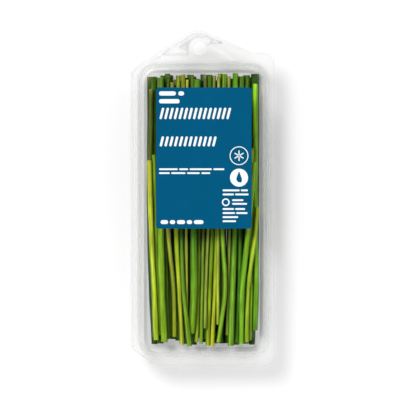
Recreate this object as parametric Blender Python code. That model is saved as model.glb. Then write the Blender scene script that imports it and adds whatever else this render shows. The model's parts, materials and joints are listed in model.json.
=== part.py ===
"""A bunch of cut chives in its clear hinged pack.

The pack lies on its back: +Z is up through the lid, +Y runs along the stems towards the hang tab, and the
origin is the middle of the pack's footprint, on the surface it lies on. A thermoformed tray holds the
stems, a shallow domed lid closes on it, and the two are joined along the left side by a living hinge.
"""

import math
import random

import bmesh
import bpy
import numpy as np
from mathutils import Vector

MM = 0.001

# Driving dimensions of the pack.
PACK_WIDTH = 82.6 * MM
PACK_LENGTH = 191.0 * MM
TRAY_DEPTH = 14.0 * MM
LID_RISE = 7.0 * MM
SHEET = 0.4 * MM
GAP = 0.3 * MM

# The mouth is the rounded rectangle where the flange turns down into the tray.
MOUTH_CENTRE = Vector((0.55 * MM, -6.7 * MM))
MOUTH_HALF = Vector((37.25 * MM, 83.5 * MM))
MOUTH_RADIUS = 10.5 * MM
CORNER_STEPS = 5

# The living hinge runs along the left side.
HINGE_RADIUS = 0.5 * MM
HINGE_X = -PACK_WIDTH / 2 + HINGE_RADIUS
HINGE_FOOT_Y = -85.0 * MM
HINGE_HEAD_Y = 72.0 * MM
FLANGE_LEFT = HINGE_X + HINGE_RADIUS + GAP

# The hang hole goes through both flanges.
HANG_HOLE = Vector((-1.4 * MM, 84.9 * MM))
HANG_HOLE_RADIUS = 4.0 * MM
HANG_HOLE_STEPS = 20

# The printed label on the lid.
LABEL_SIZE = Vector((54.0 * MM, 79.8 * MM))
LABEL_CENTRE = Vector((0.8 * MM, 22.7 * MM))
LABEL_THICK = 0.2 * MM
LABEL_RADIUS = 1.6 * MM

# The stems.
STEM_SIDES = 8
STEM_SPANS = 12
STEM_GAP = 0.36 * MM
STEM_HEAD_Y = 71.3 * MM
STEM_WAIST_Y = -18.0 * MM
STEM_SHIN_Y = -50.5 * MM
STEM_FOOT_Y = -84.3 * MM
FLOOR_HALF_WIDTH = 32.2 * MM
PLACE_YS = (STEM_HEAD_Y, STEM_WAIST_Y, STEM_SHIN_Y, STEM_FOOT_Y)
STATION_COUNT = 33

# How many stems each lower layer has, how far from the middle the outermost lies, and how unevenly they lie.
LOWER_LAYERS = ((17, 30.4 * MM, 0.1 * MM), (14, 28.6 * MM, 0.4 * MM))

# A stem rolls sideways to lie lower, by up to this much. Rolling a millimetre has to save ROLL_COST in height,
# summed over the stations.
LOWER_ROLL = 0.5 * MM
TOP_ROLL = 0.3 * MM
ROLL_TRIES = 7
ROLL_COST = 2.0
LEAF_TONES = {
    "bright": (0.33, 0.50, 0.03),
    "mid": (0.16, 0.33, 0.02),
    "dark": (0.05, 0.17, 0.01),
    "olive": (0.26, 0.30, 0.06),
    "pale": (0.38, 0.48, 0.14),
}

# The looser stems on top, in the order they are laid, in millimetres: x at the head, waist, shin and foot, the
# diameter, and where the stem's head and foot are cut.
TOP_STEMS = (
    (-28.7, -29.3, -27.6, -26.6, 2.6, 62.1, -79.0, "dark"),
    (-19.0, -20.4, -20.1, -19.2, 2.4, 69.5, -80.0, "dark"),
    (-29.0, -26.9, -25.6, -24.3, 2.3, 24.7, -78.0, "mid"),
    (22.2, 21.3, 20.8, 19.1, 2.7, 69.5, -82.0, "dark"),
    (-6.0, -2.2, -2.3, -3.5, 2.2, 70.3, -82.0, "olive"),
    (29.8, 29.9, 30.4, 29.3, 2.9, 65.2, -75.4, "mid"),
    (1.3, 0.3, -0.3, -1.1, 2.0, 70.3, -83.0, "mid"),
    (3.9, 5.3, 3.9, 2.9, 2.8, 70.4, -84.0, "mid"),
    (9.8, 8.0, 6.9, 5.3, 2.5, 71.0, -84.3, "bright"),
    (15.4, 15.6, 15.2, 14.3, 2.0, 69.5, -78.0, "olive"),
    (-24.1, -24.1, -23.4, -21.8, 3.9, 68.6, -81.6, "mid"),
    (-2.6, -4.6, -4.4, -6.4, 3.9, 67.6, -77.0, "mid"),
    (18.9, 18.5, 17.4, 16.2, 3.2, 71.3, -84.0, "mid"),
    (28.9, 27.9, 27.8, 27.3, 2.4, 28.3, -81.0, "dark"),
    (33.0, 25.8, 22.6, 21.7, 3.1, 20.3, -83.0, "mid"),
    (-31.6, -29.3, -27.7, -26.3, 2.8, 21.5, -80.7, "bright"),
    (-17.3, -19.7, -16.8, -16.1, 2.6, 66.0, -79.0, "olive"),
    (-14.0, -15.2, -13.5, -11.9, 2.7, 70.0, -83.5, "bright"),
    (6.7, 3.0, 1.7, 1.2, 1.9, 69.8, -74.0, "olive"),
    (-8.3, -8.9, -8.7, -8.5, 1.8, 67.5, -66.0, "pale"),
    (8.9, 8.7, 8.5, 8.8, 1.9, 69.0, -72.0, "pale"),
    (12.3, 11.0, 12.6, 8.5, 2.5, 70.8, -82.0, "mid"),
    (36.0, 30.0, 25.9, 24.8, 2.3, -5.1, -82.0, "bright"),
    (-10.9, -11.9, -10.9, -7.3, 2.5, 70.5, -84.0, "dark"),
)

RIGHT = PACK_WIDTH / 2
LEFT = FLANGE_LEFT
TOP = PACK_LENGTH / 2
BOTTOM = -PACK_LENGTH / 2


def clear_scene():
    for obj in list(bpy.data.objects):
        bpy.data.objects.remove(obj)


def material(name, colour, roughness, alpha=1.0):
    made = bpy.data.materials.new(name)
    made.use_nodes = True
    shader = made.node_tree.nodes["Principled BSDF"]
    shader.inputs["Base Color"].default_value = (*colour, 1.0)
    shader.inputs["Roughness"].default_value = roughness
    shader.inputs["Metallic"].default_value = 0.0
    shader.inputs["Alpha"].default_value = alpha
    return made


def add_object(name, bm, finish):
    """The finished mesh as one named object."""
    bmesh.ops.recalc_face_normals(bm, faces=bm.faces)
    mesh = bpy.data.meshes.new(name)
    bm.to_mesh(mesh)
    bm.free()
    mesh.materials.append(finish)
    mesh.shade_smooth()
    mesh.set_sharp_from_angle(angle=math.radians(35))
    obj = bpy.data.objects.new(name, mesh)
    bpy.context.scene.collection.objects.link(obj)
    return obj


# ---------------------------------------------------------------- outlines


def rounded_outline(corners, steps):
    """The points of a closed outline, from (x, y, radius) corners listed anticlockwise."""
    points = []
    for index, (x, y, radius) in enumerate(corners):
        here = Vector((x, y))
        before = Vector(corners[index - 1][:2]) - here
        after = Vector(corners[(index + 1) % len(corners)][:2]) - here
        half_angle = before.angle(after) / 2
        reach = radius / math.tan(half_angle)
        start = here + before.normalized() * reach
        end = here + after.normalized() * reach
        middle = here + (before.normalized() + after.normalized()).normalized() * radius / math.sin(half_angle)
        for step in range(steps + 1):
            along = start.lerp(end, step / steps) - middle
            points.append(middle + along.normalized() * radius)
    return points


def mouth_ring(inset):
    """The mouth's rounded rectangle, drawn in by inset. A negative inset lies outside it."""
    half = MOUTH_HALF - Vector((inset, inset))
    radius = MOUTH_RADIUS - inset
    corners = [
        (MOUTH_CENTRE.x + sx * half.x, MOUTH_CENTRE.y + sy * half.y, radius)
        for sx, sy in ((-1, -1), (1, -1), (1, 1), (-1, 1))
    ]
    return rounded_outline(corners, CORNER_STEPS)


def flange_outline(thumb_radius):
    """The outer edge: a cut-off corner at each end of the hinge, and the hang tab's low gable at the head."""
    corners = [
        (LEFT, -85.6 * MM, 2.0 * MM),
        (-26.5 * MM, BOTTOM, 8.0 * MM),
        (RIGHT, BOTTOM, 6.5 * MM),
        (RIGHT, 82.5 * MM, thumb_radius),
        (28.5 * MM, 82.8 * MM, 8.0 * MM),
        (-4.3 * MM, 97.28 * MM, 12.0 * MM),
        (-39.0 * MM, 73.7 * MM, 2.0 * MM),
        (LEFT, 71.0 * MM, 1.5 * MM),
    ]
    return rounded_outline(corners, 4)


def hang_hole_ring():
    turns = [2 * math.pi * step / HANG_HOLE_STEPS for step in range(HANG_HOLE_STEPS)]
    return [HANG_HOLE + Vector((math.cos(a), math.sin(a))) * HANG_HOLE_RADIUS for a in turns]


# ---------------------------------------------------------------- the formed sheets


def add_ring(bm, points, z):
    """A closed loop of edges at one height."""
    verts = [bm.verts.new((p.x, p.y, z)) for p in points]
    edges = [bm.edges.new((verts[i - 1], verts[i])) for i in range(len(verts))]
    return verts, edges


def skin(bm, below, above):
    """Quads between two rings that have the same number of points."""
    for i in range(len(below)):
        bm.faces.new((below[i - 1], below[i], above[i], above[i - 1]))


def formed_sheet(name, outline, profile, sheet_side, finish):
    """One thermoformed half: a flange with its hang hole, then a wall that follows profile, then a flat panel.

    profile lists (inset from the mouth, height) from the flange inwards. sheet_side is -1 where the sheet's
    thickness lies below that surface and 1 where it lies above.
    """
    bm = bmesh.new()
    flange_z = profile[0][1]
    _, outer_edges = add_ring(bm, outline, flange_z)
    _, hole_edges = add_ring(bm, hang_hole_ring(), flange_z)
    rings = [add_ring(bm, mouth_ring(inset), z) for inset, z in profile]
    bmesh.ops.triangle_fill(bm, edges=outer_edges + hole_edges + rings[0][1], use_beauty=True)
    for (below, _), (above, _) in zip(rings, rings[1:]):
        skin(bm, below, above)
    bm.faces.new(rings[-1][0])
    bmesh.ops.recalc_face_normals(bm, faces=bm.faces)
    bm.normal_update()
    if sum(face.normal.z * face.calc_area() for face in bm.faces) < 0:
        bmesh.ops.reverse_faces(bm, faces=bm.faces)
    obj = add_object_open(name, bm, finish)
    solidify = obj.modifiers.new("sheet", "SOLIDIFY")
    solidify.thickness = SHEET
    solidify.offset = sheet_side
    solidify.use_even_offset = True
    return obj


def add_object_open(name, bm, finish):
    """An open surface, whose faces already point up. Its Solidify modifier closes it."""
    mesh = bpy.data.meshes.new(name)
    bm.to_mesh(mesh)
    bm.free()
    mesh.materials.append(finish)
    obj = bpy.data.objects.new(name, mesh)
    bpy.context.scene.collection.objects.link(obj)
    return obj


def make_tray(finish):
    flange_z = TRAY_DEPTH - GAP / 2
    floor_z = SHEET
    profile = [
        (-0.8 * MM, flange_z),
        (-0.2 * MM, flange_z - 0.25 * MM),
        (0.15 * MM, flange_z - 0.9 * MM),
        (2.5 * MM, floor_z + 2.0 * MM),
        (3.1 * MM, floor_z + 0.7 * MM),
        (4.4 * MM, floor_z),
    ]
    return formed_sheet("tray", flange_outline(3.2 * MM), profile, -1, finish)


def make_lid(finish):
    """The lid's wall drops into the tray's mouth as a locating rib, turns back and rises to the dome."""
    flange_z = TRAY_DEPTH + GAP / 2
    panel_z = TRAY_DEPTH + LID_RISE - SHEET
    rib_z = TRAY_DEPTH - 1.6 * MM
    profile = [
        (0.65 * MM, flange_z),
        (0.8 * MM, rib_z + 0.35 * MM),
        (1.05 * MM, rib_z),
        (1.95 * MM, rib_z),
        (2.2 * MM, rib_z + 0.35 * MM),
        (3.2 * MM, panel_z - 0.9 * MM),
        (3.5 * MM, panel_z - 0.3 * MM),
        (4.2 * MM, panel_z),
    ]
    return formed_sheet("lid", flange_outline(7.5 * MM), profile, 1, finish)


def make_living_hinge(finish):
    """The rolled bead that joins the two flanges, on the line the lid turns about."""
    bm = bmesh.new()
    length = HINGE_HEAD_Y - HINGE_FOOT_Y
    bmesh.ops.create_cone(
        bm, cap_ends=True, segments=12, radius1=HINGE_RADIUS, radius2=HINGE_RADIUS, depth=length
    )
    obj = add_object("living_hinge", bm, finish)
    obj.rotation_euler = (math.radians(90), 0, 0)
    obj.location = (HINGE_X, (HINGE_HEAD_Y + HINGE_FOOT_Y) / 2, TRAY_DEPTH)
    return obj


def make_label(finish):
    """A stiff paper label, lying just clear of the lid's flat panel."""
    half = LABEL_SIZE / 2
    corners = [(sx * half.x, sy * half.y, LABEL_RADIUS) for sx, sy in ((-1, -1), (1, -1), (1, 1), (-1, 1))]
    bm = bmesh.new()
    verts = [bm.verts.new((p.x, p.y, 0)) for p in rounded_outline(corners, 4)]
    face = bm.faces.new(verts)
    raised = bmesh.ops.extrude_face_region(bm, geom=[face])
    lifted = [item for item in raised["geom"] if isinstance(item, bmesh.types.BMVert)]
    bmesh.ops.translate(bm, verts=lifted, vec=(0, 0, LABEL_THICK))
    obj = add_object("label", bm, finish)
    obj.location = (LABEL_CENTRE.x, LABEL_CENTRE.y, TRAY_DEPTH + LID_RISE + GAP)
    return obj


# ---------------------------------------------------------------- the stems


class Stem:
    """One chive: a slender tube along Y whose middle line is (x, z) at each of the shared stations."""

    def __init__(self, places, diameter, head_y, foot_y, tone):
        self.places = places
        self.radius = diameter / 2
        self.head_y = head_y
        self.foot_y = foot_y
        self.tone = tone
        self.shift = 0.0
        self.heights = []

    def lean(self, index):
        """The stem's slope dx/dy at one of its places, from the places on either side."""
        before = max(index - 1, 0)
        after = min(index + 1, len(self.places) - 1)
        return (self.places[after] - self.places[before]) / (PLACE_YS[after] - PLACE_YS[before])

    def x_at(self, y):
        """A smooth bend through the head, waist, shin and foot: a cubic with matched slopes in each stretch."""
        index = sum(y < place_y for place_y in PLACE_YS[1:-1])
        length = PLACE_YS[index + 1] - PLACE_YS[index]
        t = (y - PLACE_YS[index]) / length
        start = (2 * t + 1) * (1 - t) ** 2 * self.places[index] + t * (1 - t) ** 2 * length * self.lean(index)
        end = t**2 * (3 - 2 * t) * self.places[index + 1] - t**2 * (1 - t) * length * self.lean(index + 1)
        return self.shift + start + end

    def z_at(self, y):
        along = (y - STEM_FOOT_Y) / (STEM_HEAD_Y - STEM_FOOT_Y) * (STATION_COUNT - 1)
        index = min(max(int(along), 0), STATION_COUNT - 2)
        share = along - index
        return self.heights[index] * (1 - share) + self.heights[index + 1] * share

    def covers(self, y):
        return self.foot_y - 4 * MM <= y <= self.head_y + 4 * MM


def stations():
    step = (STEM_HEAD_Y - STEM_FOOT_Y) / (STATION_COUNT - 1)
    return [STEM_FOOT_Y + step * index for index in range(STATION_COUNT)]


def lowest_heights(stem, placed):
    """How low the stem's middle may lie at each station: on the tray's floor, or on the stems below it."""
    floor = SHEET + GAP + stem.radius
    lowest = []
    for y in stations():
        height = floor
        x = stem.x_at(y)
        for other in placed:
            if not (stem.covers(y) and other.covers(y)):
                continue
            apart = abs(x - other.x_at(y))
            reach = stem.radius + other.radius + STEM_GAP
            if apart < reach:
                height = max(height, other.z_at(y) + math.sqrt(reach**2 - apart**2))
        lowest.append(height)
    return lowest


def settle(lowest, rounds=500, droop=0.02 * MM):
    """A springy stem laid on the heights below it: it sags a little between the places where it rests."""
    heights = np.full(len(lowest), max(lowest))
    for _ in range(rounds):
        before = np.concatenate([heights[:1], heights[:-1]])
        after = np.concatenate([heights[1:], heights[-1:]])
        heights = np.maximum((before + 2 * heights + after) / 4 - droop, lowest)
    return heights


def lay(stem, placed, reach):
    """Rolls the stem sideways within reach to where it lies lowest, and rests it there."""
    best = None
    for index in range(ROLL_TRIES):
        # 0, then a step to either side, then two, so that a stem rolls only as far as it gains from.
        stem.shift = reach * ((index + 1) // 2) * (1 if index % 2 else -1) / (ROLL_TRIES // 2)
        side = max(abs(stem.x_at(y) - MOUTH_CENTRE.x) for y in stations() if stem.covers(y))
        if side > FLOOR_HALF_WIDTH - stem.radius:
            continue
        heights = settle(lowest_heights(stem, placed))
        total = sum(heights) + abs(stem.shift) * ROLL_COST
        if best is None or total < best[0]:
            best = (total, stem.shift, heights)
    if best is None:
        raise ValueError(f"the stem at {stem.places} doesn't fit between the tray's walls")
    _, stem.shift, stem.heights = best
    placed.append(stem)


def lower_stem(source, x, spread):
    """A stem of the lower layers, near x. Their feet lie a little closer together than their heads."""
    diameter = source.uniform(2.6, 3.2) * MM
    shares = (1.0, 1.0, 0.97, 0.915)
    places = [MOUTH_CENTRE.x + x * share + source.uniform(-spread, spread) for share in shares]
    head_y = STEM_HEAD_Y - source.uniform(0.0, 5.0) * MM
    foot_y = STEM_FOOT_Y + source.uniform(0.5, 6.0) * MM
    return Stem(places, diameter, head_y, foot_y, source.choice(("mid", "dark")))


def top_stem(row):
    sizes = [value * MM for value in row[:7]]
    return Stem(sizes[:4], *sizes[4:], row[7])


def lay_the_bunch():
    """Two layers of nearly parallel stems on the tray's floor, then the looser ones on top."""
    source = random.Random(7)
    placed = []
    for count, reach_x, spread in LOWER_LAYERS:
        xs = [(2 * index / (count - 1) - 1) * reach_x for index in range(count)]
        row = [lower_stem(source, x, spread) for x in xs]
        for stem in row[::2] + row[1::2]:
            lay(stem, placed, LOWER_ROLL)
    for row in TOP_STEMS:
        lay(top_stem(row), placed, TOP_ROLL)
    return placed


def make_stem(name, stem, finish):
    """A tube through the stem's middle line, cut square at both ends."""
    bm = bmesh.new()
    rings = []
    for index in range(STEM_SPANS + 1):
        y = stem.foot_y + (stem.head_y - stem.foot_y) * index / STEM_SPANS
        turns = [2 * math.pi * side / STEM_SIDES for side in range(STEM_SIDES)]
        ring = [
            bm.verts.new((stem.x_at(y) + math.cos(a) * stem.radius, y, stem.z_at(y) + math.sin(a) * stem.radius))
            for a in turns
        ]
        rings.append(ring)
    for below, above in zip(rings, rings[1:]):
        skin(bm, below, above)
    bm.faces.new(rings[0])
    bm.faces.new(rings[-1])
    return add_object(name, bm, finish)


def main():
    clear_scene()
    clear_plastic = material("clear_plastic", (0.95, 0.96, 0.96), 0.08, 0.25)
    blue_paper = material("blue_paper", (0.01, 0.10, 0.20), 0.45)
    leaves = {tone: material(f"leaf_{tone}", colour, 0.4) for tone, colour in LEAF_TONES.items()}
    make_tray(clear_plastic)
    make_lid(clear_plastic)
    make_living_hinge(clear_plastic)
    make_label(blue_paper)
    for index, stem in enumerate(lay_the_bunch()):
        make_stem(f"chive_{index + 1:02d}", stem, leaves[stem.tone])


main()
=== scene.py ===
# %% [markdown]
# # A bunch of cut chives in its clear hinged pack
# Chives are thin hollow leaves. A packer cuts a bunch to one length, lays it in a shallow tray of clear
# PET and folds the lid over it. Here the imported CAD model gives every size, and each visible piece is
# built again over it with finer shape and a material of its own. The CAD solids stay for collisions.

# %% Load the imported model
import json
import math
import random

import bmesh
import bpy
from mathutils import Matrix, Vector

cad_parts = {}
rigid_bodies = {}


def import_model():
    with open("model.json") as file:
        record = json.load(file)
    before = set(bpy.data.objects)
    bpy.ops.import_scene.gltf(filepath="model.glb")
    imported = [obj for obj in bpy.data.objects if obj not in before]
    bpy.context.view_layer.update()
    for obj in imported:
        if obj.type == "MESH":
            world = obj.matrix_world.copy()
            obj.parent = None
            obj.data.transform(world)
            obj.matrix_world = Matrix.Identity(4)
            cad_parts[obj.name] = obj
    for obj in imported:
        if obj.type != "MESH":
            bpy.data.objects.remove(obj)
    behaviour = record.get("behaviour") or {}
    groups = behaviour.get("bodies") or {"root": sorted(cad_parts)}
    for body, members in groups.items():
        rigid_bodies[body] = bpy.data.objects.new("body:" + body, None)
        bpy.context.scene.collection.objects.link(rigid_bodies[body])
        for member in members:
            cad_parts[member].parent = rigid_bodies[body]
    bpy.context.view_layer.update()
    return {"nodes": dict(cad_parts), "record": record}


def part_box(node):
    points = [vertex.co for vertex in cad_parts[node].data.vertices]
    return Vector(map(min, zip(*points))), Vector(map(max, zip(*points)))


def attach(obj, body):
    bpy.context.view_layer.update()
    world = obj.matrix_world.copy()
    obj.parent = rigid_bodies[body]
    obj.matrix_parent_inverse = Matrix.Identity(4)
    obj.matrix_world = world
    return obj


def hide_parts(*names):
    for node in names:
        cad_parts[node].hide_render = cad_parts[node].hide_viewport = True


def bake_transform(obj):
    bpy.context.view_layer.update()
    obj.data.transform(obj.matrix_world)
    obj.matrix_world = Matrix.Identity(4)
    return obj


for leftover in list(bpy.data.objects):
    bpy.data.objects.remove(leftover)
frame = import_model()
MM = 0.001

# %% [markdown]
# ## Small helpers
# A material is a tree of nodes. One function adds any node, fills its sockets and links it, so that the
# trees below read as lists. Colours are written as screen colours and turned to linear light.

# %% Helpers for materials


def linear(code):
    """A hex screen colour as linear red, green, blue and alpha."""
    parts = [int(code[i : i + 2], 16) / 255 for i in (0, 2, 4)]
    return tuple(p / 12.92 if p <= 0.04045 else ((p + 0.055) / 1.055) ** 2.4 for p in parts) + (1.0,)


def add_node(tree, kind, values=None, **settings):
    """Adds a node. settings are its options; values fill its sockets with a number or another socket.

    A socket goes by its name or its place. On a Map Range, 0 is the value, 1 and 2 are the range that it
    comes from, and 3 and 4 are the range that it goes to.
    """
    node = tree.nodes.new("ShaderNode" + kind)
    for option, choice in settings.items():
        setattr(node, option, choice)
    for socket, value in (values or {}).items():
        if isinstance(value, bpy.types.NodeSocket):
            tree.links.new(value, node.inputs[socket])
        else:
            node.inputs[socket].default_value = value
    return node


def new_material(name):
    made = bpy.data.materials.new(name)
    made.use_nodes = True
    made.node_tree.nodes.clear()
    return made, made.node_tree


print("mid grey in linear light is", [round(part, 3) for part in linear("808080")])

# %% Helpers for meshes


def rounded_face(bm, corners, height, segments=8):
    """A flat face from (x, y, radius) corners in mm, anticlockwise, each corner bevelled to its radius."""
    before = set(bm.faces)
    verts = [bm.verts.new((x * MM, y * MM, height * MM)) for x, y, _ in corners]
    bm.faces.new(verts)
    for index, vert in enumerate(verts):
        here = Vector(corners[index][:2])
        last = Vector(corners[index - 1][:2]) - here
        following = Vector(corners[(index + 1) % len(corners)][:2]) - here
        reach = corners[index][2] * MM / math.tan(last.angle(following) / 2)
        bmesh.ops.bevel(
            bm,
            geom=[vert],
            offset=reach,
            offset_type="OFFSET",
            affect="VERTICES",
            segments=segments,
            profile=0.5,
            material=-1,
        )
    return next(face for face in bm.faces if face not in before)


def step_in(bm, face, thickness, depth):
    """Insets one face by thickness and moves it by depth along its normal, both in mm."""
    bmesh.ops.inset_individual(
        bm, faces=[face], thickness=thickness * MM, depth=depth * MM, use_even_offset=True
    )


def make_piece(name, bm, body, nodes, finish, sharp=35):
    """Turns a finished mesh into a piece that rides on body, stands for nodes and takes finish as its
    material.
    """
    mesh = bpy.data.meshes.new(name)
    bm.to_mesh(mesh)
    bm.free()
    mesh.materials.append(finish)
    mesh.shade_smooth()
    mesh.set_sharp_from_angle(angle=math.radians(sharp))
    piece = bpy.data.objects.new(name, mesh)
    bpy.context.scene.collection.objects.link(piece)
    if body:
        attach(piece, body)
    if nodes:
        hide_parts(*nodes)
    return piece


trial = bmesh.new()
square = rounded_face(trial, [(0, 0, 2), (10, 0, 2), (10, 10, 2), (0, 10, 2)], 0)
print("a 10 mm square with 2 mm corners covers", round(square.calc_area() / MM**2, 1), "square mm")
trial.free()

# %% [markdown]
# ## Clear PET
# The pack is thermoformed from PET sheet 0.4 mm thick: soft, hot sheet is sucked over a mould, so every
# edge has a small radius and the surface waves slightly. A sheet this thin hardly bends what is seen
# through it, so a Transparent shader with a mirror over it reads better than solid glass. The mirror
# grows towards grazing angles. The flange keeps the sheet's full gauge and is slightly milky, while the
# stretched panels are clear; seen edge-on, the longer way through the plastic makes any of it milkier.

# %% The clear sheet's material
clear_pet, tree = new_material("clear_pet_thermoformed")
facing = add_node(tree, "LayerWeight", {"Blend": 0.5}).outputs["Facing"]
rim = add_node(tree, "Math", {0: facing, 1: 5.0}, operation="POWER").outputs[0]
mirror = add_node(tree, "Math", {0: rim, 1: 0.18, 2: 0.008}, operation="MULTIPLY_ADD").outputs[0]
longer = add_node(tree, "Math", {0: facing, 1: 4.0}, operation="POWER").outputs[0]
tints = {"Factor": longer, 6: linear("fefefe"), 7: linear("f1f3f2")}
through = add_node(tree, "Mix", tints, data_type="RGBA").outputs[2]
place = add_node(tree, "TexCoord").outputs["Object"]
# Forming leaves waves about 9 mm apart.
waves = add_node(tree, "TexNoise", {"Vector": place, "Scale": 1 / (9 * MM), "Detail": 1.0}).outputs[0]
wavy = add_node(tree, "Bump", {"Height": waves, "Strength": 0.06, "Distance": 0.4 * MM}).outputs[0]
see = add_node(tree, "BsdfTransparent", {"Color": through}).outputs[0]
shine = add_node(tree, "BsdfGlossy", {"Roughness": 0.07, "Normal": wavy}).outputs[0]
both = add_node(tree, "MixShader", {0: mirror, 1: see, 2: shine}).outputs[0]
gauge = add_node(tree, "Attribute", attribute_name="gauge").outputs["Fac"]
slant = add_node(tree, "Math", {0: facing, 1: 3.0}, operation="POWER").outputs[0]
edge_haze = add_node(tree, "Math", {0: slant, 1: 0.48}, operation="MULTIPLY").outputs[0]
haze = add_node(tree, "Math", {0: gauge, 1: 0.08, 2: edge_haze}, operation="MULTIPLY_ADD").outputs[0]
lit = add_node(tree, "BsdfDiffuse", {"Color": linear("fcfcfc")}).outputs[0]
lit_through = add_node(tree, "BsdfTranslucent", {"Color": linear("fcfcfc")}).outputs[0]
milk = add_node(tree, "MixShader", {0: 0.5, 1: lit, 2: lit_through}).outputs[0]
sheet_look = add_node(tree, "MixShader", {0: haze, 1: both, 2: milk}).outputs[0]
add_node(tree, "OutputMaterial", {"Surface": sheet_look})
print(clear_pet.name, len(tree.nodes), "nodes")

# %% [markdown]
# ## The tray and the lid
# Each half is one sheet: a flange with a hang hole, then a wall round the mouth, then a flat panel. The
# flange is cut with a die, so its outline is a polygon with rounded corners. The wall is the mouth's
# rounded face inset again and again while it drops or rises, which keeps the wall parallel all round, as
# the mould is. Solidify then gives the sheet its thickness, on the same side as in the CAD.

# %% Outlines of the flange, the mouth and the hang tab's raised panel
tray_low, tray_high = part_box("tray")
lid_low, lid_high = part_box("lid")
LEFT, RIGHT = tray_low.x / MM, tray_high.x / MM
FOOT = tray_low.y / MM
SHEET = 0.4
# The heights, in mm, of the surfaces that are drawn: the flanges lie 0.3 mm apart.
TRAY_FLANGE = tray_high.z / MM
LID_FLANGE = TRAY_FLANGE + 0.3
LID_PANEL = lid_high.z / MM - SHEET
# The hang hole's centre and radius.
HOLE_X, HOLE_Y, HOLE_RADIUS = -1.4, 84.9, 4.0


def flange_corners(thumb):
    """The die-cut outline. thumb is the radius of the corner where a thumb parts the two halves."""
    return [
        (LEFT, -85.6, 2.0),
        (-26.5, FOOT, 8.0),
        (RIGHT, FOOT, 6.5),
        (RIGHT, 82.5, thumb),
        (28.5, 82.8, 8.0),
        (-4.3, 97.28, 12.0),
        (-39.0, 73.7, 2.0),
        (LEFT, 71.0, 1.5),
    ]


MOUTH_X, MOUTH_Y = 0.55, -6.7
MOUTH_HALF_WIDTH, MOUTH_HALF_LENGTH, MOUTH_RADIUS = 37.25, 83.5, 10.5


def mouth_corners(inset):
    """The mouth's rounded oblong, drawn in by inset on every side."""
    half_x, half_y = MOUTH_HALF_WIDTH - inset, MOUTH_HALF_LENGTH - inset
    ways = ((-1, -1), (1, -1), (1, 1), (-1, 1))
    return [(MOUTH_X + sx * half_x, MOUTH_Y + sy * half_y, MOUTH_RADIUS - inset) for sx, sy in ways]


# The panel stiffens the tab: it runs up the slopes and round the hang hole's far side.
TAB_PANEL = [
    (-22.2, 81.2, 0.9),
    (-7.4, 81.2, 1.2),
    (-7.4, 91.0, 5.2),
    (4.4, 91.0, 2.2),
    (4.4, 87.6, 0.7),
    (10.0, 87.6, 0.7),
    (11.4, 88.6, 0.5),
    (-4.14, 95.46, 10.0),
    (-22.6, 82.91, 0.9),
]
print("flange", round(LEFT, 2), "to", round(RIGHT, 2), "mm; lid panel at", round(LID_PANEL, 2), "mm")

# %% A wall's profile


def filleted(points):
    """A profile of (inset, height, reach) corners, with each corner rounded by a curve of that reach."""
    made = [Vector(points[0][:2])]
    for last, here, following in zip(points, points[1:], points[2:]):
        corner = Vector(here[:2])
        start = corner + (Vector(last[:2]) - corner).normalized() * here[2]
        end = corner + (Vector(following[:2]) - corner).normalized() * here[2]
        for step in range(7):
            t = step / 6
            made.append(start * (1 - t) ** 2 + corner * 2 * t * (1 - t) + end * t**2)
    made.append(Vector(points[-1][:2]))
    return made


print("a filleted corner has", len(filleted([(0, 0, 0), (5, 0, 1), (5, 5, 0)])) - 2, "points")

# %% A formed sheet
# Each step is (how far in, how far up), in mm: a bead that stiffens the rim, and the tab panel's edge.
RIM_BEAD = ((0.25, 0.0), (0.12, 0.28), (0.25, 0.0), (0.12, -0.28))
PANEL_EDGE = ((0.12, 0.12), (0.2, 0.7), (0.14, 0.18))


def formed_sheet(name, thumb, profile, side, panel_lift):
    """Builds one half. side is -1 where the sheet lies below the drawn surface, 1 where above."""
    bm = bmesh.new()
    flange = profile[0][1]
    outline = rounded_face(bm, flange_corners(thumb), flange)
    for thickness, rise in RIM_BEAD:
        step_in(bm, outline, thickness, rise * side)
    # The flange is what lies between its outline, the hole, the tab's panel and the mouth.
    loops = list(outline.edges)
    bmesh.ops.delete(bm, geom=[outline], context="FACES_ONLY")
    hole = bmesh.ops.create_circle(bm, segments=40, radius=HOLE_RADIUS * MM)["verts"]
    bmesh.ops.translate(bm, verts=hole, vec=(HOLE_X * MM, HOLE_Y * MM, flange * MM))
    loops += [edge for edge in bm.edges if edge.verts[0] in hole and edge.verts[1] in hole]
    panel = rounded_face(bm, TAB_PANEL, flange, 6)
    loops += list(panel.edges)
    for thickness, rise in PANEL_EDGE:
        step_in(bm, panel, thickness, rise * panel_lift)
    wall = rounded_face(bm, mouth_corners(profile[0][0]), flange, 18)
    loops += list(wall.edges)
    path = filleted(profile)
    for last, here in zip(path, path[1:]):
        step_in(bm, wall, here.x - last.x, here.y - last.y)
    bmesh.ops.triangle_fill(bm, edges=loops, use_beauty=True)
    bmesh.ops.recalc_face_normals(bm, faces=bm.faces)
    if sum(face.normal.z * face.calc_area() for face in bm.faces) < 0:
        bmesh.ops.reverse_faces(bm, faces=bm.faces)
    # Forming stretches the sheet, so it is thinner the further it is drawn from the flange.
    gauge = bm.verts.layers.float.new("gauge")
    reach = abs(path[-1].y - flange)
    for vert in bm.verts:
        rise = abs(vert.co.z / MM - flange)
        vert[gauge] = 1.0 if rise < 2.0 else max(0.0, 1.0 - rise / reach)
    piece = make_piece(name + "_sheet", bm, name, [name], clear_pet)
    solid = piece.modifiers.new("sheet thickness", "SOLIDIFY")
    solid.thickness = SHEET * MM
    solid.offset = side
    solid.use_even_offset = True
    return piece


print("rim bead", round(sum(across for across, _ in RIM_BEAD), 2), "mm wide")

# %% Form the tray and the lid
# Each corner is (how far in from the mouth's outline, its height, the reach of its fillet).
TRAY_PROFILE = [
    (-1.3, TRAY_FLANGE, 0),
    (-0.05, TRAY_FLANGE, 0.8),
    (2.95, SHEET, 1.9),
    (6.0, SHEET, 0),
]
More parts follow.
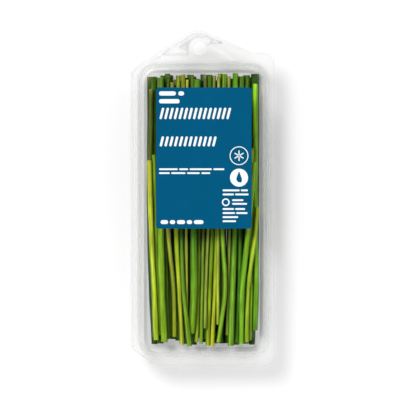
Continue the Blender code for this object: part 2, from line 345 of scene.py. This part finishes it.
# The lid sinks to a rib that locates it in the tray's mouth, then rises to its panel.
RIB = 12.4
LID_PROFILE = [
    (-0.4, LID_FLANGE, 0),
    (0.62, LID_FLANGE, 0.5),
    (0.83, RIB, 0.42),
    (2.15, RIB, 0.42),
    (3.33, LID_PANEL, 0.9),
    (5.4, LID_PANEL, 0),
]
tray = formed_sheet("tray", 3.2, TRAY_PROFILE, -1, -0.5)
lid = formed_sheet("lid", 7.5, LID_PROFILE, 1, 1)
print("tray", len(tray.data.polygons), "faces; lid", len(lid.data.polygons), "faces")

# %% [markdown]
# ## The living hinge
# The two halves are one sheet, and the hinge is a strip of it rolled round the fold. On the pack it bends
# as the lid opens; here it is one piece that rides on neither body. It starts as a short edge, is drawn out
# as a leg, spun half a turn round the hinge line and drawn out again.

# %% Roll the hinge strip
hinge_low, hinge_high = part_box("living_hinge")
hinge_x = (hinge_low.x + hinge_high.x) / 2
hinge_z = (hinge_low.z + hinge_high.z) / 2
ROLL = 0.32 * MM
leg_end = tray_low.x - 0.03 * MM
bm = bmesh.new()
first = bm.verts.new((leg_end, hinge_low.y, hinge_z - ROLL))
second = bm.verts.new((hinge_x, hinge_low.y, hinge_z - ROLL))
bm.edges.new((first, second))
bmesh.ops.spin(
    bm,
    geom=[second],
    cent=(hinge_x, hinge_low.y, hinge_z),
    axis=(0, 1, 0),
    angle=math.pi,
    steps=12,
    use_duplicate=False,
)
top = max(bm.verts, key=lambda vert: vert.co.z)
last = bm.verts.new((leg_end, hinge_low.y, hinge_z + ROLL))
bm.edges.new((top, last))
drawn = bmesh.ops.extrude_edge_only(bm, edges=list(bm.edges))["geom"]
bmesh.ops.translate(
    bm,
    verts=[item for item in drawn if isinstance(item, bmesh.types.BMVert)],
    vec=(0, hinge_high.y - hinge_low.y, 0),
)
bmesh.ops.recalc_face_normals(bm, faces=bm.faces)
bmesh.ops.solidify(bm, geom=list(bm.faces), thickness=0.28 * MM)
bmesh.ops.recalc_face_normals(bm, faces=bm.faces)
hinge = make_piece("hinge_strip", bm, None, ["living_hinge"], clear_pet)
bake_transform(hinge)
print("hinge strip", [round(value / MM, 2) for value in hinge.dimensions], "mm")

# %% [markdown]
# ## Chive skin
# A chive leaf is a tube with a thin waxy skin. Fine veins run its whole length, and the green drifts from
# yellow near the cut foot to darker or greyer green. The colour, with painted light and shade in it, comes
# from an attribute that each leaf carries, the veins from its own UV map in millimetres, and a little
# subsurface light stands for the moist wall. Real veins lie a quarter of a millimetre apart, too fine to
# show here, so bundles of them are drawn.

# %% The skin's material, once for each tone


def chive_skin(tone, roughness, bloom):
    """Leaf skin. bloom is how far the pale wax covers the green where it is thickest."""
    made, tree = new_material("chive_skin_" + tone)
    # The attribute holds each leaf's colour together with painted light and shade.
    own = add_node(tree, "Attribute", attribute_name="leaf_colour").outputs["Color"]
    along = add_node(tree, "UVMap", uv_map="skin").outputs["UV"]
    # Bundles of veins 0.8 mm across and 24 mm long; patches 2.2 mm across and 10 mm long.
    fine = add_node(tree, "Mapping", {"Vector": along, "Scale": (1 / 0.8, 1 / 24, 1)}).outputs[0]
    broad = add_node(tree, "Mapping", {"Vector": along, "Scale": (1 / 2.2, 1 / 10, 1)}).outputs[0]
    veins = add_node(tree, "TexNoise", {"Vector": fine, "Scale": 1.0, "Detail": 2.0}).outputs[0]
    patches = add_node(tree, "TexNoise", {"Vector": broad, "Scale": 1.0, "Detail": 3.0}).outputs[0]
    vein_step = add_node(tree, "MapRange", {0: veins, 1: 0.32, 2: 0.68, 3: 0.62, 4: 1.38}).outputs[0]
    patch_step = add_node(tree, "MapRange", {0: patches, 1: 0.3, 2: 0.7, 3: 0.8, 4: 1.16}).outputs[0]
    strength = add_node(tree, "Math", {0: vein_step, 1: patch_step}, operation="MULTIPLY").outputs[0]
    shaded = add_node(tree, "HueSaturation", {"Color": own, "Value": strength}).outputs[0]
    wax = add_node(tree, "MapRange", {0: patches, 1: 0.52, 2: 0.75, 3: 0.0, 4: bloom}).outputs[0]
    coats = {"Factor": wax, 6: shaded, 7: linear("a4b35c")}
    skin = add_node(tree, "Mix", coats, data_type="RGBA").outputs[2]
    glint = {0: veins, 1: 0.3, 2: 0.7, 3: roughness - 0.06, 4: roughness + 0.08}
    rough = add_node(tree, "MapRange", glint).outputs[0]
    ribs = add_node(tree, "Bump", {"Height": veins, "Strength": 0.35, "Distance": 0.1 * MM}).outputs[0]
    shader = add_node(
        tree,
        "BsdfPrincipled",
        {
            "Base Color": skin,
            "Roughness": rough,
            "IOR": 1.42,
            "Specular IOR Level": 0.4,
            "Subsurface Weight": 0.06,
            "Subsurface Radius": (0.9, 1.0, 0.25),
            "Subsurface Scale": 0.8 * MM,
            "Normal": ribs,
        },
    ).outputs[0]
    add_node(tree, "OutputMaterial", {"Surface": shader})
    return made


SKINS = {
    "bright": chive_skin("bright", 0.40, 0.12),
    "mid": chive_skin("mid", 0.38, 0.10),
    "dark": chive_skin("dark", 0.38, 0.10),
    "olive": chive_skin("olive", 0.42, 0.14),
    "pale": chive_skin("pale", 0.44, 0.18),
}
print("skins", sorted(SKINS))

# %% [markdown]
# ## The leaves
# Each CAD stem is a plain tube with a few rings. Its rings give the middle line, which a smooth curve runs
# through. One circle is extruded along that curve: it starts inside the hollow foot, comes out over the
# cut wall, runs up the leaf and turns back in at the head, so that both ends show as hollow cut tubes.

# %% Where each CAD stem runs


def cad_rings(node):
    """The middle and radius of each ring of a CAD stem, from its foot to its head."""
    rings = {}
    for vert in frame["nodes"][node].data.vertices:
        rings.setdefault(round(vert.co.y, 5), []).append(vert.co)
    found = []
    for y in sorted(rings):
        xs = [co.x for co in rings[y]]
        zs = [co.z for co in rings[y]]
        middle = Vector(((min(xs) + max(xs)) / 2, y, (min(zs) + max(zs)) / 2))
        found.append((middle, (max(xs) - min(xs)) / 2))
    return found


def on_curve(middles, share):
    """The point at share, from 0 to 1, of a smooth curve through the middles."""
    along = min(max(share, 0.0), 1.0) * (len(middles) - 1)
    index = min(int(along), len(middles) - 2)
    t = along - index
    a, b = middles[index], middles[index + 1]
    before = middles[max(index - 1, 0)]
    after = middles[min(index + 2, len(middles) - 1)]
    start, end = (b - before) / 2, (after - a) / 2
    return (
        a * (2 * t**3 - 3 * t**2 + 1)
        + start * (t**3 - 2 * t**2 + t)
        + b * (3 * t**2 - 2 * t**3)
        + end * (t**3 - t**2)
    )


chives = sorted(name for name in frame["nodes"] if name.startswith("chive_"))
print(len(chives), "stems,", len(cad_rings(chives[0])), "rings each")

# %% What colour each leaf is, with painted light and shade, at its head, middle and foot
# The leaves on top each have their own. Some carry painted shade, darker along the stretch of a leaf that
# lies in shade under its neighbours, and the leaves beside the label on the right carry painted light,
# brighter than their own green against the shadow that the label casts on them.
LEAF_COLOURS_LIGHT_AND_SHADE = {
    "chive_32": ("5a6420", "4f6a1c", "5a7a1e"),
    "chive_33": ("44641a", "3f6c14", "4a7818"),
    "chive_34": ("80ac2a", "7cae28", "84b42a"),
    "chive_35": ("44741a", "377014", "427c18"),
    "chive_36": ("5f801c", "567818", "90ac2c"),
    "chive_37": ("94dc30", "84cc2a", "5c9420"),
    "chive_38": ("7f9060", "70903f", "74a22e"),
    "chive_39": ("48741a", "62981e", "98b024"),
    "chive_40": ("8aac2c", "86aa26", "b8c42a"),
    "chive_41": ("93a664", "85a056", "80a046"),
    "chive_42": ("588420", "76a422", "82b028"),
    "chive_43": ("56901c", "468a14", "78aa24"),
    "chive_44": ("6cb41e", "64a024", "6ca22c"),
    "chive_45": ("96bc2e", "80aa22", "78a424"),
    "chive_46": ("96cc30", "74b422", "74ae26"),
    "chive_47": ("c4cc4c", "bcd442", "a8cc30"),
    "chive_48": ("84863e", "929850", "98ae2e"),
    "chive_49": ("86a424", "b0d22e", "b0bc4e"),
    "chive_50": ("829456", "889c56", "84a03c"),
    "chive_51": ("b0c264", "b0c264", "a4b854"),
    "chive_52": ("a0b654", "a0b654", "9cb44c"),
    "chive_53": ("72a42e", "72a42e", "7cae30"),
    "chive_54": ("b4d43c", "98bc30", "8aae2c"),
    "chive_55": ("a6a824", "386a16", "78a420"),
}
# The leaves below get three of these, drawn by chance. They are darker than the leaves' own green: painted
# shade for the gaps under the leaves on top.
LOWER_GREENS_AND_SHADE = ("36640c", "28520a", "447410", "46740f", "2c5a0c", "527414")
PITH = linear("b4c47c")
# The wall inside the hollow is painted dark green: painted shade inside the tube.
HOLLOW_SHADE = linear("35501a")
DRIED = linear("8f8a3c")
# Where the middle colour lies on the way from the foot, 0, to the head, 1.
WAIST = 0.45


def leaf_colour(name, share, pick):
    """The colour at share of the way from the foot to the head, painted light and shade included."""
    fallback = [LOWER_GREENS_AND_SHADE[(pick + step) % 6] for step in (0, 2, 3)]
    head, middle, foot = (Vector(linear(code)) for code in LEAF_COLOURS_LIGHT_AND_SHADE.get(name, fallback))
    if share < WAIST:
        mixed = foot.lerp(middle, share / WAIST)
    else:
        mixed = middle.lerp(head, (share - WAIST) / (1 - WAIST))
    # Light passes in and out of a leaf, which purifies its green, so over half of the blue is cut back.
    return Vector((mixed.x * 0.98, mixed.y * 0.93, mixed.z * 0.45, 1.0))


print(len(LEAF_COLOURS_LIGHT_AND_SHADE), "leaves on top have their own colours")

# %% Unwrap a leaf


def girth_of(radius):
    """The way round a leaf, in mm."""
    return 2 * math.pi * radius / MM


def unwrap_leaf(bm, around, along, girth, shift):
    """A UV map in mm, with its seam underneath. shift gives each leaf its own stretch of skin."""
    skin = bm.loops.layers.uv.new("skin")
    for face in bm.faces:
        turns = [loop.vert[around] for loop in face.loops]
        seam = max(turns) - min(turns) > 0.5
        for loop, turn in zip(face.loops, turns):
            turn += 1.0 if seam and turn < 0.5 else 0.0
            loop[skin].uv = (turn * girth + shift, loop.vert[along] + shift)


print("the first leaf is", round(girth_of(cad_rings(chives[0])[0][1]), 1), "mm round")

# %% Grow one leaf along its curve
SIDES = 20
SPANS = 48
# (how far from the end in mm, how wide, what shows there), from inside the hollow out to the skin.
CUT_END = [
    (2.4, 0.58, "inside"),
    (0.12, 0.64, "inside"),
    (0.0, 0.70, "pith"),
    (0.0, 0.93, "pith"),
    (0.1, 1.0, "skin"),
]
# The head end of some leaves has dried, over this last share of their length.
DRY_FROM = 0.96


def grow_leaf(name):
    """The mesh of one leaf, with its colour, painted light and shade in an attribute, and a UV map in
    millimetres.
    """
    source = random.Random(name)
    rings = cad_rings(name)
    middles = [middle for middle, _ in rings]
    radius = rings[0][1]
    length = (middles[-1] - middles[0]).length
    squash, lobe = source.uniform(0, 6.28), source.uniform(0, 6.28)
    beat, pick = source.uniform(0, 6.28), source.randrange(6)
    dry = source.random() < 0.2
    # The leaves under the pile are pressed flat: wider, and no taller.
    spread = 1.02 if name in LEAF_COLOURS_LIGHT_AND_SHADE else 1.24
    bm = bmesh.new()
    around = bm.verts.layers.float.new("around")
    along = bm.verts.layers.float.new("along")
    colour_and_shade_layer = bm.verts.layers.float_color.new("leaf_colour")
    run = length / MM
    body = [(run * step / SPANS, 1.0, "skin") for step in range(1, SPANS)]
    stops = CUT_END + body + [(run - at, wide, shows) for at, wide, shows in reversed(CUT_END)]
    verts = bmesh.ops.create_circle(bm, segments=SIDES, radius=1.0)["verts"]
    for vert in verts:
        vert[around] = ((math.atan2(vert.co.y, vert.co.x) + math.pi / 2) / (2 * math.pi)) % 1.0
    edges = list(bm.edges)
    for index, (at, wide, shows) in enumerate(stops):
        if index:
            drawn = bmesh.ops.extrude_edge_only(bm, edges=edges)["geom"]
            verts = [item for item in drawn if isinstance(item, bmesh.types.BMVert)]
            fresh = set(verts)
            edges = [e for e in drawn if isinstance(e, bmesh.types.BMEdge) and set(e.verts) <= fresh]
        share = at / run
        middle = on_curve(middles, share)
        colour = leaf_colour(name, share, pick)
        if dry and share > DRY_FROM:
            colour = colour.lerp(Vector(DRIED), (share - DRY_FROM) / (1 - DRY_FROM) * 0.8)
        if shows != "skin":
            colour = Vector(PITH if shows == "pith" else HOLLOW_SHADE)
        # The width swells and thins a little along the leaf, more than once.
        swell = 1 + 0.05 * math.sin(share * 9 + beat) + 0.03 * math.sin(share * 31 + lobe)
        for vert in verts:
            angle = vert[around] * 2 * math.pi - math.pi / 2
            # No leaf is quite round: it is a little flattened, with a soft third side.
            flattened = 0.025 * math.cos(2 * angle + squash + share * 2)
            uneven = 1 + flattened + 0.015 * math.cos(3 * angle + lobe)
            reach = radius * wide * swell * uneven
            aside, up = math.cos(angle) * reach * spread, math.sin(angle) * reach * 0.97
            vert.co = middle + Vector((aside, 0, up))
            vert[along] = at
            # Painted light and shade: the top ridge of each leaf is painted a little brighter, and its
            # flanks and underside much darker, as light from above falls on it.
            depth = 0.30 + 0.84 * max(0.0, math.sin(angle)) ** 1.3
            vert[colour_and_shade_layer] = (colour.x * depth, colour.y * depth, colour.z * depth, 1.0)
    bmesh.ops.holes_fill(bm, edges=bm.edges, sides=0)
    bmesh.ops.recalc_face_normals(bm, faces=bm.faces)
    unwrap_leaf(bm, around, along, girth_of(radius), source.uniform(0, 500))
    return bm


print("each leaf has", SPANS + 1 + 2 * (len(CUT_END) - 1), "rings of", SIDES, "points")

# %% Grow the bunch
slots = {part["node"]: part["material_slot"] for part in frame["record"]["subparts"]}
faces = 0
for name in chives:
    tone = slots[name].replace("chive_", "")
    leaf = make_piece(name + "_leaf", grow_leaf(name), "tray", [name], SKINS[tone], 50)
    faces += len(leaf.data.polygons)
print(len(chives), "leaves with", faces, "faces")

# %% [markdown]
# ## The label
# A stiff paper label is printed blue with white marks and stuck on the lid. The real one carries words, a
# brand and seals. Here plain rounded bars and bands of slanting strokes stand in the places of the words,
# and two simple signs, a snowflake for keep cold and a drop for rinse, stand in the round ones. The sheet
# is a rounded face extruded to paper's thickness, and each mark is a film of ink on it, so that the print
# is as crisp from close by as from far off.

# %% Printed paper, blue and white


def printed_paper(name, code, gloss):
    """Coated paper with offset ink: even colour, a faint fibre grain 0.3 mm across and almost no shine."""
    made, tree = new_material(name)
    place = add_node(tree, "TexCoord").outputs["Object"]
    grain = add_node(tree, "TexNoise", {"Vector": place, "Scale": 1 / (0.3 * MM), "Detail": 2.0}).outputs[0]
    clouds = add_node(tree, "TexNoise", {"Vector": place, "Scale": 1 / (14 * MM), "Detail": 2.0}).outputs[0]
    uneven = add_node(tree, "MapRange", {0: clouds, 1: 0.3, 2: 0.7, 3: 0.96, 4: 1.04}).outputs[0]
    ink = add_node(tree, "HueSaturation", {"Color": linear(code), "Value": uneven}).outputs[0]
    rough = add_node(tree, "MapRange", {0: grain, 1: 0.3, 2: 0.7, 3: 0.5, 4: 0.62}).outputs[0]
    fibre = add_node(tree, "Bump", {"Height": grain, "Strength": 0.15, "Distance": 0.02 * MM}).outputs[0]
    shader = add_node(
        tree,
        "BsdfPrincipled",
        {"Base Color": ink, "Roughness": rough, "Specular IOR Level": gloss, "Normal": fibre},
    ).outputs[0]
    add_node(tree, "OutputMaterial", {"Surface": shader})
    return made


blue_paper = printed_paper("label_paper_blue_ink", "005479", 0.03)
white_ink = printed_paper("label_white_ink", "eef4f5", 0.2)
print(blue_paper.name, "and", white_ink.name)

# %% Cut the label
label_low, label_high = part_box("label")
x0, y0 = label_low.x / MM, label_low.y / MM
x1, y1 = label_high.x / MM, label_high.y / MM
LABEL_CORNER, LABEL_PAPER = 1.6, 0.15
bm = bmesh.new()
corners = [(x, y, LABEL_CORNER) for x, y in ((x0, y0), (x1, y0), (x1, y1), (x0, y1))]
sheet = rounded_face(bm, corners, label_low.z / MM)
raised = bmesh.ops.extrude_face_region(bm, geom=[sheet])["geom"]
lifted = [item for item in raised if isinstance(item, bmesh.types.BMVert)]
bmesh.ops.translate(bm, verts=lifted, vec=(0, 0, LABEL_PAPER * MM))
bmesh.ops.recalc_face_normals(bm, faces=bm.faces)
make_piece("label_sheet", bm, "lid", ["label"], blue_paper)
print("label", round(x1 - x0, 1), "by", round(y1 - y0, 1), "mm")

# %% Marks in a film of ink
INK_LOW = label_low.z + 0.16 * MM
INK_HIGH = label_low.z + 0.18 * MM


def lift_ink(bm, face):
    """Gives a flat printed shape the thickness of a film of ink."""
    raised = bmesh.ops.extrude_face_region(bm, geom=[face])["geom"]
    verts = [item for item in raised if isinstance(item, bmesh.types.BMVert)]
    bmesh.ops.translate(bm, verts=verts, vec=(0, 0, INK_HIGH - INK_LOW))


def bar(bm, x, y, width, height):
    """A rounded bar whose lower left corner is (x, y), in mm."""
    radius = min(width, height) * 0.48
    ends = ((x, y), (x + width, y), (x + width, y + height), (x, y + height))
    lift_ink(bm, rounded_face(bm, [(*end, radius) for end in ends], INK_LOW / MM, 5))


def row_of_bars(bm, x, y, widths, height, gap):
    """Bars of the given widths side by side, from (x, y) to the right."""
    for width in widths:
        bar(bm, x, y, width, height)
        x += width + gap


def turn_about(bm, verts, x, y, degrees):
    """Turns a mark about the point (x, y), in mm."""
    turned = Matrix.Rotation(math.radians(degrees), 3, "Z")
    bmesh.ops.rotate(bm, verts=verts, cent=(x * MM, y * MM, 0), matrix=turned)


STROKE, PITCH, LEAN = 1.35, 2.7, -14


def hatching(bm, x, y, count, height):
    """A plain band of slanting strokes, like leaves side by side."""
    for index in range(count):
        before = set(bm.verts)
        bar(bm, x + index * PITCH, y, STROKE, height)
        stroke = [vert for vert in bm.verts if vert not in before]
        turn_about(bm, stroke, x + index * PITCH + 0.67, y + height / 2, LEAN)


print("ink", round((INK_HIGH - INK_LOW) / MM, 2), "mm thick")

# %% Print the marks that stand for words
bm = bmesh.new()
left = x0 + 1.7
row_of_bars(bm, left, 58.0, (9.5, 3.2), 2.4, 1.4)
row_of_bars(bm, left, 53.6, (11.6,), 2.4, 1.4)
hatching(bm, left + 0.9, 44.6, 15, 6.6)
hatching(bm, left + 0.9, 29.2, 12, 5.8)
row_of_bars(bm, left, 15.9, (10.5, 5.0, 12.5, 6.2), 0.95, 0.9)
row_of_bars(bm, left, 13.7, (6.0, 8.0, 7.2, 5.0), 0.95, 0.9)
row_of_bars(bm, left + 0.9, -14.6, (4.2, 3.0, 4.6, 3.0, 5.4), 2.2, 1.0)
right = 11.4
row_of_bars(bm, right, 3.9, (9.6, 4.0), 1.05, 0.7)
row_of_bars(bm, right, 1.6, (6.4, 7.6), 1.05, 0.7)
row_of_bars(bm, right + 5.4, -1.6, (6.4,), 1.0, 0.7)
row_of_bars(bm, right + 5.4, -3.7, (8.4,), 1.0, 0.7)
row_of_bars(bm, right, -6.6, (6.4, 5.6), 1.0, 0.7)
row_of_bars(bm, right, -8.9, (7.0, 6.4), 1.0, 0.7)
row_of_bars(bm, right, -11.2, (8.8,), 1.0, 0.7)
row_of_bars(bm, right, -13.5, (7.6,), 1.0, 0.7)
print("bars", len(bm.faces), "faces")

# %% Print its round signs


def ring(bm, x, y, radius, width):
    """A printed ring: a disc with its middle cut away."""
    before = set(bm.faces)
    verts = bmesh.ops.create_circle(bm, cap_ends=True, segments=40, radius=radius * MM)["verts"]
    bmesh.ops.translate(bm, verts=verts, vec=(x * MM, y * MM, INK_LOW))
    disc = next(face for face in bm.faces if face not in before)
    step_in(bm, disc, width, 0.0)
    bmesh.ops.delete(bm, geom=[disc], context="FACES")
    band = [face for face in bm.faces if face not in before]
    raised = bmesh.ops.extrude_face_region(bm, geom=band)["geom"]
    lifted = [item for item in raised if isinstance(item, bmesh.types.BMVert)]
    bmesh.ops.translate(bm, verts=lifted, vec=(0, 0, INK_HIGH - INK_LOW))


# Both round signs stand on one line down the label.
SIGNS_X, SNOW_Y, DROP_Y = 20.7, 24.0, 11.6
ring(bm, SIGNS_X, SNOW_Y, 5.3, 0.5)
ring(bm, 13.2, -2.3, 2.2, 0.75)
# A snowflake: three crossed strokes.
for turn in range(3):
    before = set(bm.verts)
    bar(bm, SIGNS_X - 3.0, SNOW_Y - 0.32, 6.0, 0.64)
    spoke = [vert for vert in bm.verts if vert not in before]
    turn_about(bm, spoke, SIGNS_X, SNOW_Y, 60 * turn + 30)
# A filled disc, with a drop on it in the label's blue.
before = set(bm.faces)
disc = bmesh.ops.create_circle(bm, cap_ends=True, segments=40, radius=5.1 * MM)["verts"]
bmesh.ops.translate(bm, verts=disc, vec=(SIGNS_X * MM, DROP_Y * MM, INK_LOW))
lift_ink(bm, next(face for face in bm.faces if face not in before))
bmesh.ops.recalc_face_normals(bm, faces=bm.faces)
printed = make_piece("label_print", bm, "lid", [], white_ink)
bm = bmesh.new()
drop_corners = [(18.3, 8.9, 2.2), (23.1, 8.9, 2.2), (SIGNS_X, 15.4, 0.3)]
drop = rounded_face(bm, drop_corners, INK_HIGH / MM + 0.005)
lift_ink(bm, drop)
bmesh.ops.recalc_face_normals(bm, faces=bm.faces)
make_piece("label_drop", bm, "lid", [], blue_paper)
print("print", len(printed.data.polygons), "faces")

# %% [markdown]
# ## Floor, light and camera
# A white sweep, one big soft light from the upper left and a pale sky that is darker straight overhead, so
# that the flat lid doesn't mirror a white ceiling. A sun lamp with a wide angle stands in for a large
# softbox far off: its shadows are as soft, and it needs no distance. The camera looks straight down from
# far off through a long lens, so the pack's sides hardly show.

# %% Floor
bm = bmesh.new()
bmesh.ops.create_grid(bm, x_segments=1, y_segments=1, size=3.0)
mesh = bpy.data.meshes.new("floor")
bm.to_mesh(mesh)
bm.free()
floor = bpy.data.objects.new("floor", mesh)
bpy.context.scene.collection.objects.link(floor)
paper, tree = new_material("white_sweep_paper")
matt = {"Base Color": linear("f3f3f3"), "Roughness": 0.9, "Specular IOR Level": 0.0}
shader = add_node(tree, "BsdfPrincipled", matt).outputs[0]
add_node(tree, "OutputMaterial", {"Surface": shader})
mesh.materials.append(paper)
print("floor", [round(value, 1) for value in floor.dimensions], "m")

# %% Light
sun = bpy.data.lights.new("softbox", "SUN")
sun.energy = 2.62
sun.angle = math.radians(30)
lamp = bpy.data.objects.new("softbox", sun)
lamp.rotation_euler = Vector((-0.55, 0.68, 1.0)).to_track_quat("Z", "Y").to_euler()
bpy.context.scene.collection.objects.link(lamp)
world = bpy.data.worlds.new("studio")
bpy.context.scene.world = world
world.use_nodes = True
tree = world.node_tree
tree.nodes.clear()
sky = add_node(tree, "TexCoord").outputs["Generated"]
up = add_node(tree, "SeparateXYZ", {0: sky}).outputs["Z"]
fall = {0: up, 1: 0.65, 2: 0.95, 3: 0.80, 4: 0.05}
level = add_node(tree, "MapRange", fall, interpolation_type="SMOOTHSTEP").outputs[0]
backdrop = add_node(tree, "Background", {"Color": linear("ffffff"), "Strength": level}).outputs[0]
add_node(tree, "OutputWorld", {"Surface": backdrop})
bpy.context.scene.view_settings.view_transform = "Standard"
# A ray can meet many walls of clear sheet on its way, and each wall is two surfaces.
bpy.context.scene.cycles.transparent_max_bounces = 32
print("softbox", round(math.degrees(sun.angle)), "degrees wide")

# %% Camera
camera = bpy.data.cameras.new("overhead")
camera.sensor_width = 36
camera.lens = 237.7
camera.clip_end = 20
eye = bpy.data.objects.new("overhead", camera)
eye.location = (-1.36 * MM, -1.02 * MM, 1.514)
bpy.context.scene.collection.objects.link(eye)
bpy.context.scene.camera = eye
print("camera", round(eye.location.z, 3), "m up, lens", round(camera.lens, 1), "mm")

# %% Finish: update the scene
bpy.context.view_layer.update()
